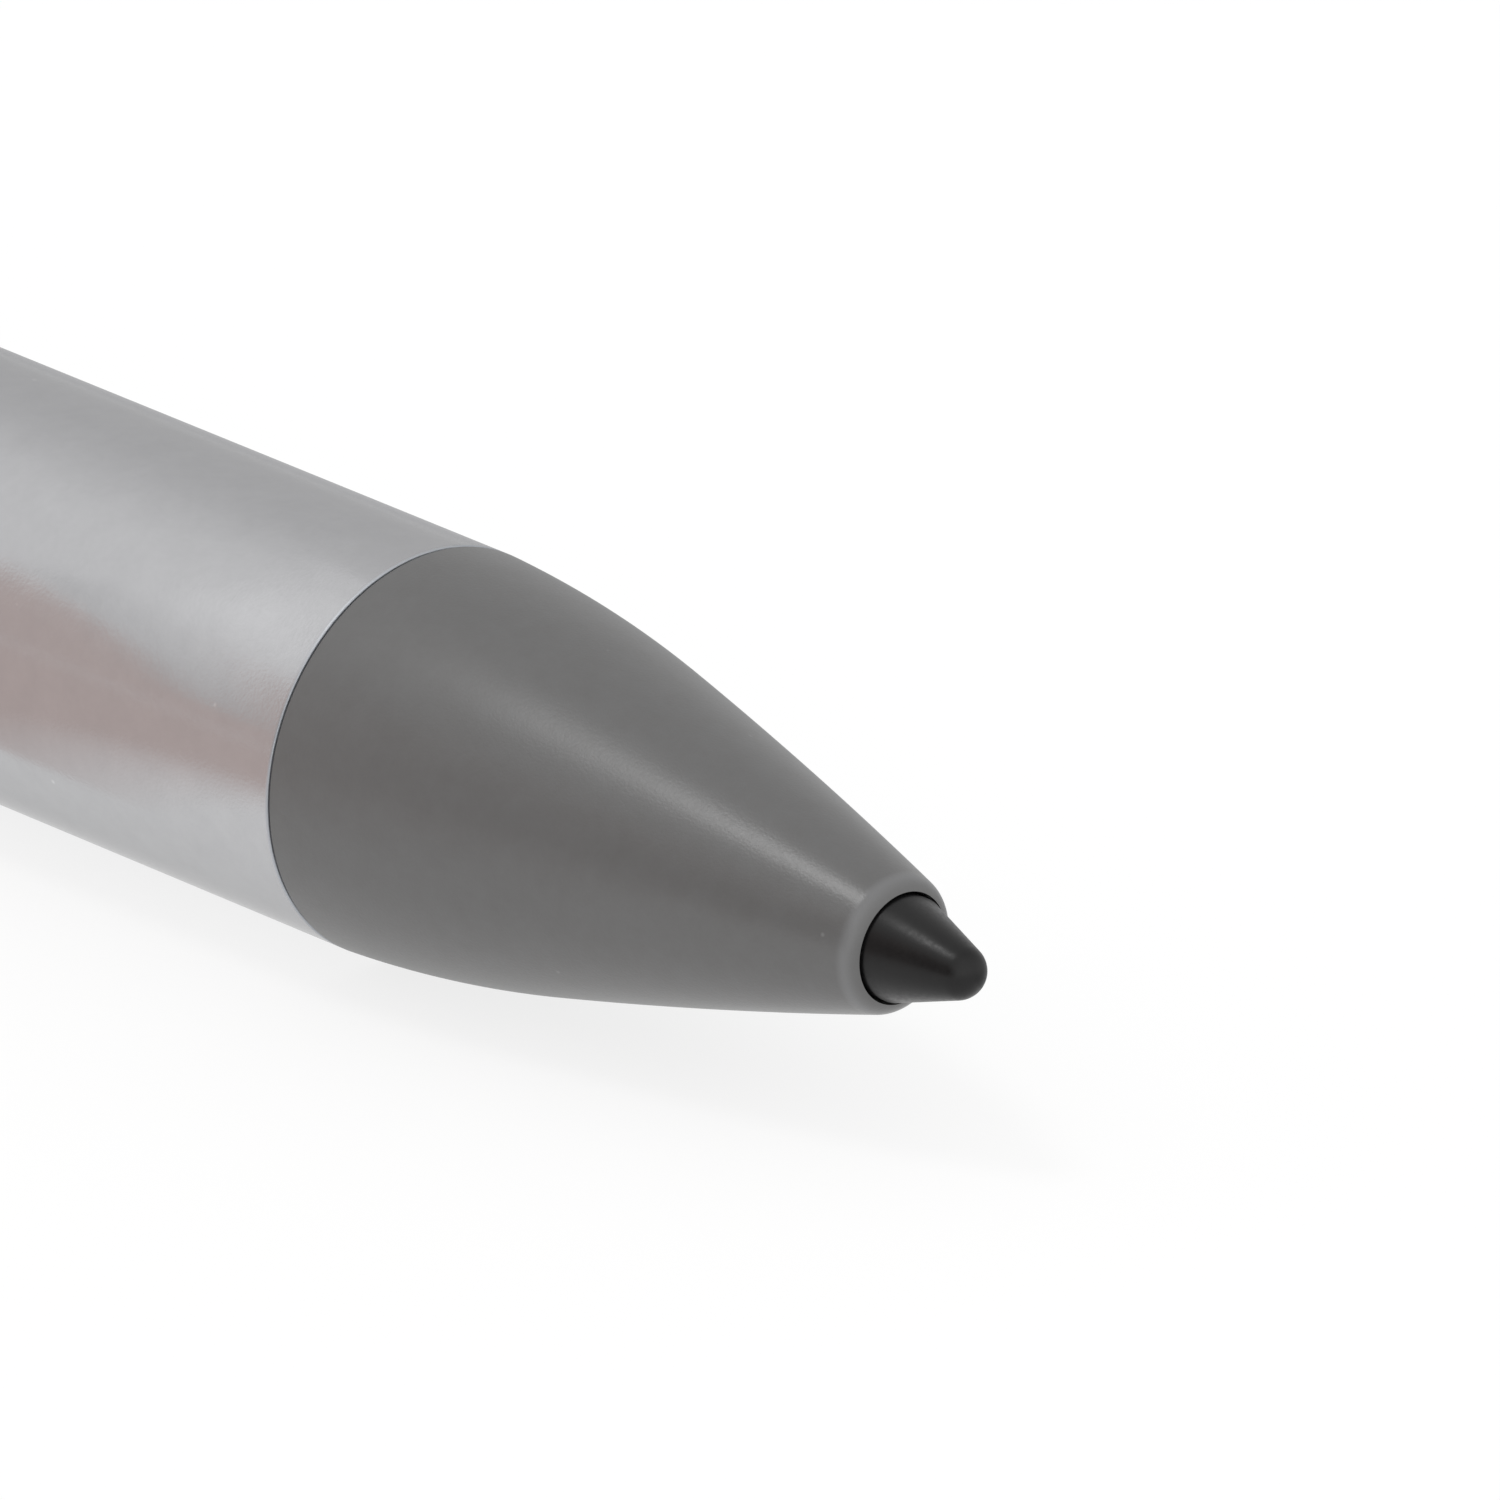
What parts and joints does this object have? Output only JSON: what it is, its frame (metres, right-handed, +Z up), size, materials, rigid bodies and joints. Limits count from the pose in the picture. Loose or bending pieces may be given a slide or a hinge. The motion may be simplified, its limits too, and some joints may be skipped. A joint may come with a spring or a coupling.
{
  "type": "stylus pen",
  "caption": "Slim metal stylus pen for a tablet, with a moulded nose cone, a sprung nib, side keys, a screw-off tail, a pocket clip and a push button at the tail.",
  "frame": {"origin": "on the pen's axis, at the front end of the front barrel's straight wall, where the nose cone begins", "axes": "+X along the pen's axis towards the nib, +Z up from the table that the pen lies on, resting on its barrel and the edge of its clip"},
  "size_m": [0.1394, 0.0115, 0.0095],
  "materials": {
    "barrel_metal": "satin anodised",
    "nose_plastic": "fine matt moulding",
    "nib_plastic": "satin",
    "key_plastic": "satin",
    "clip_steel": "satin",
    "spring_steel": "bright wire",
    "contact_brass": "bright",
    "carrier_plastic": "as moulded",
    "board_green": "solder mask",
    "chip_black": "matt",
    "flex_film": "film",
    "cell_wrap": "plain wrap on a metal can",
    "seal_rubber": "matt"
  },
  "bodies": {
    "barrel": {"front_barrel": "barrel_metal", "rear_barrel": "barrel_metal", "battery_bulkhead": "key_plastic", "nose_cone": "nose_plastic", "tip_electrode": "contact_brass", "tilt_electrode": "contact_brass", "nib_guide": "carrier_plastic", "nib_spring": "spring_steel", "sensor_cup": "chip_black", "force_sensor": "spring_steel", "sensor_flex": "flex_film", "board_carrier": "carrier_plastic", "circuit_board": "board_green", "board_chips": "chip_black", "board_screws": "spring_steel", "key_switches": "spring_steel", "minus_pin": "contact_brass", "battery_spring": "spring_steel", "battery_can": "cell_wrap", "battery_terminal": "spring_steel"},
    "nib_unit": {"nib": "nib_plastic", "nib_holder": "carrier_plastic"},
    "front_key_unit": {"front_key": "key_plastic", "front_actuator": "chip_black"},
    "rear_key_unit": {"rear_key": "key_plastic", "rear_actuator": "chip_black"},
    "tail_seal": {"tail_gasket": "seal_rubber"},
    "tail": {"tail_sleeve": "barrel_metal", "threaded_plug": "key_plastic", "plus_contact": "contact_brass", "tail_board": "board_green", "radio_chip": "chip_black", "tail_switch": "spring_steel", "tail_spring": "spring_steel"},
    "tail_button_unit": {"tail_button": "key_plastic"},
    "clip": {"pocket_clip": "clip_steel"}
  },
  "joints": [
    {"name": "nib_press", "type": "slide", "parent": "barrel", "child": "nib_unit", "axis": [-1, 0, 0], "range_m": [0, 0.0004], "stiffness_N_per_m": 1500, "springref_m": -0.0003, "deforming": ["nib_spring"]},
    {"name": "front_key_press", "type": "slide", "parent": "barrel", "child": "front_key_unit", "axis": [0, 0.8837, 0.4681], "range_m": [0, 0.00025], "stiffness_N_per_m": 4000, "springref_m": -0.0001},
    {"name": "rear_key_press", "type": "slide", "parent": "barrel", "child": "rear_key_unit", "axis": [0, 0.8837, 0.4681], "range_m": [0, 0.00025], "stiffness_N_per_m": 4000, "springref_m": -0.0001},
    {"name": "tail_advance", "type": "slide", "parent": "barrel", "child": "tail_seal", "axis": [-1, 0, 0], "range_m": [0, 0.0024]},
    {"name": "tail_twist", "type": "hinge", "parent": "tail_seal", "child": "tail", "pos_m": [-0.1018, 0, 0], "axis": [-1, 0, 0], "range_deg": [0, 1440]},
    {"name": "tail_button_press", "type": "slide", "parent": "tail", "child": "tail_button_unit", "axis": [1, 0, 0], "range_m": [0, 0.0008], "stiffness_N_per_m": 1200, "springref_m": -0.0005, "deforming": ["tail_spring"]},
    {"name": "clip_flex", "type": "hinge", "parent": "tail", "child": "clip", "pos_m": [-0.1144, -0.00398, -0.00211], "axis": [0, 0.4681, -0.8837], "range_deg": [0, 4], "stiffness_Nm_per_rad": 3}
  ],
  "couplings": [
    {"joint": "tail_twist", "follows": "tail_advance", "rad_per_m": 10472}
  ]
}
